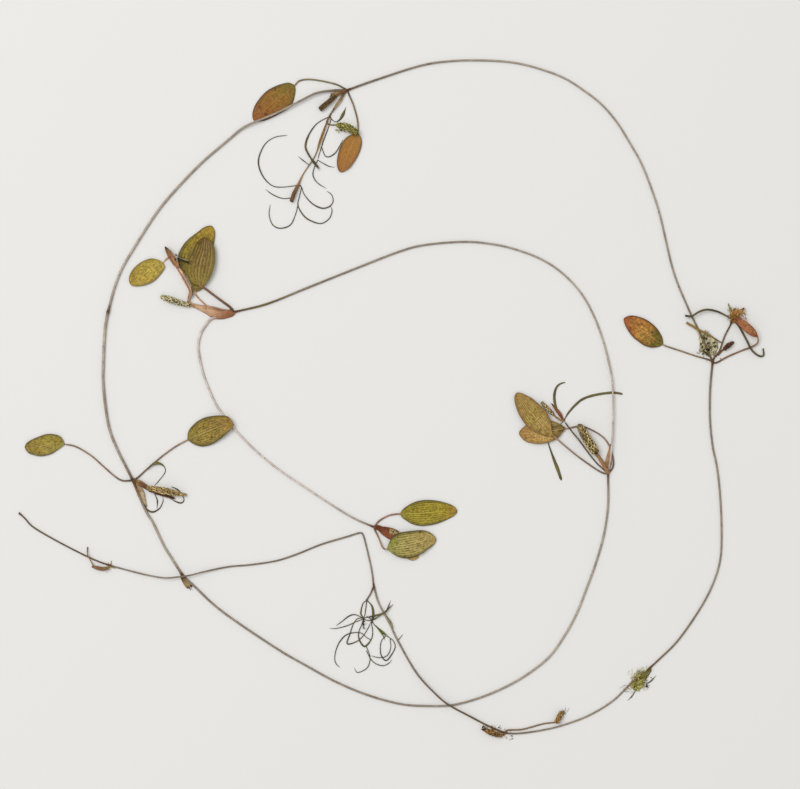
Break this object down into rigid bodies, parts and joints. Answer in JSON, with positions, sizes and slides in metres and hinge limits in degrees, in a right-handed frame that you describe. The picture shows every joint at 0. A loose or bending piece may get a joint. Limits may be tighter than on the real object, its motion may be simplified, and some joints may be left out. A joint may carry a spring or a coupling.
{
  "type": "waterthread pondweed",
  "caption": "Slender pondweed lying in one loose spiral, with small oval floating leaves, thread-fine submersed leaves and short flower spikes.",
  "frame": {"origin": "middle of the plant's box, on the surface that it lies on", "axes": "+X to the right and +Y up as the plant is seen from above, +Z up from the surface towards the viewer"},
  "size_m": [0.2533, 0.2308, 0.0035],
  "materials": {
    "stem": "satin",
    "shoot": "satin",
    "leaf": "satin",
    "leaf_purple": "satin",
    "leaf_orange": "satin",
    "thread": "satin",
    "spike": "satin",
    "spike_dark": "satin",
    "stipule": "satin"
  },
  "bodies": {
    "root": {"stem_base": "stem", "stem_long_run": "stem", "stem_lower_diagonal": "stem", "stem_bottom_right": "stem", "stem_right_side": "stem", "stem_top_arc": "stem", "stem_left_upper": "stem", "stem_left_lower": "stem", "stem_inner_left": "stem", "stem_inner_bottom": "stem", "stem_inner_arc": "stem", "stem_tip_run": "stem", "side_shoot_top_upper": "shoot", "side_shoot_top_lower": "shoot", "side_shoot_right": "shoot", "side_shoot_inner_right": "shoot", "side_shoot_tuft": "shoot", "leaf_tip_upper": "leaf", "leaf_tip_lower": "leaf", "leaf_tip_young": "leaf_orange", "leaf_big_purple": "leaf_purple", "leaf_big_olive": "leaf", "leaf_small_oval": "leaf", "leaf_folded_long": "leaf_orange", "leaf_right_tan": "leaf", "leaf_right_olive": "leaf", "leaf_left_small": "leaf", "leaf_left_speckled": "leaf", "leaf_top_olive": "leaf", "leaf_top_orange": "leaf_orange", "leaf_far_right_red": "leaf_orange", "leaf_far_right_folded": "leaf_orange", "spike_bud_tip": "spike_dark", "spike_big_leaf": "spike", "spike_inner_right_large": "spike", "spike_inner_right_small": "spike", "spike_left": "spike_dark", "spike_top_dark": "spike_dark", "spike_top_green": "spike", "spike_far_right": "spike_dark", "spike_bottom": "spike", "spike_bottom_side": "spike", "bud_base": "spike_dark", "strap_leaf_inner_upper": "thread", "strap_leaf_inner_long": "thread", "strap_leaf_inner_lower": "thread", "strap_leaf_top": "thread", "threads_top_upper": "thread", "threads_top_left": "thread", "threads_top_lower": "thread", "threads_left": "thread", "threads_tuft": "thread", "threads_right": "thread", "threads_far_right": "thread", "sheath_big_leaf": "stipule", "stipules_tip": "stipule", "stipule_inner_right": "stipule", "stipule_left": "stipule", "stipule_flap": "stipule"}
  },
  "joints": []
}
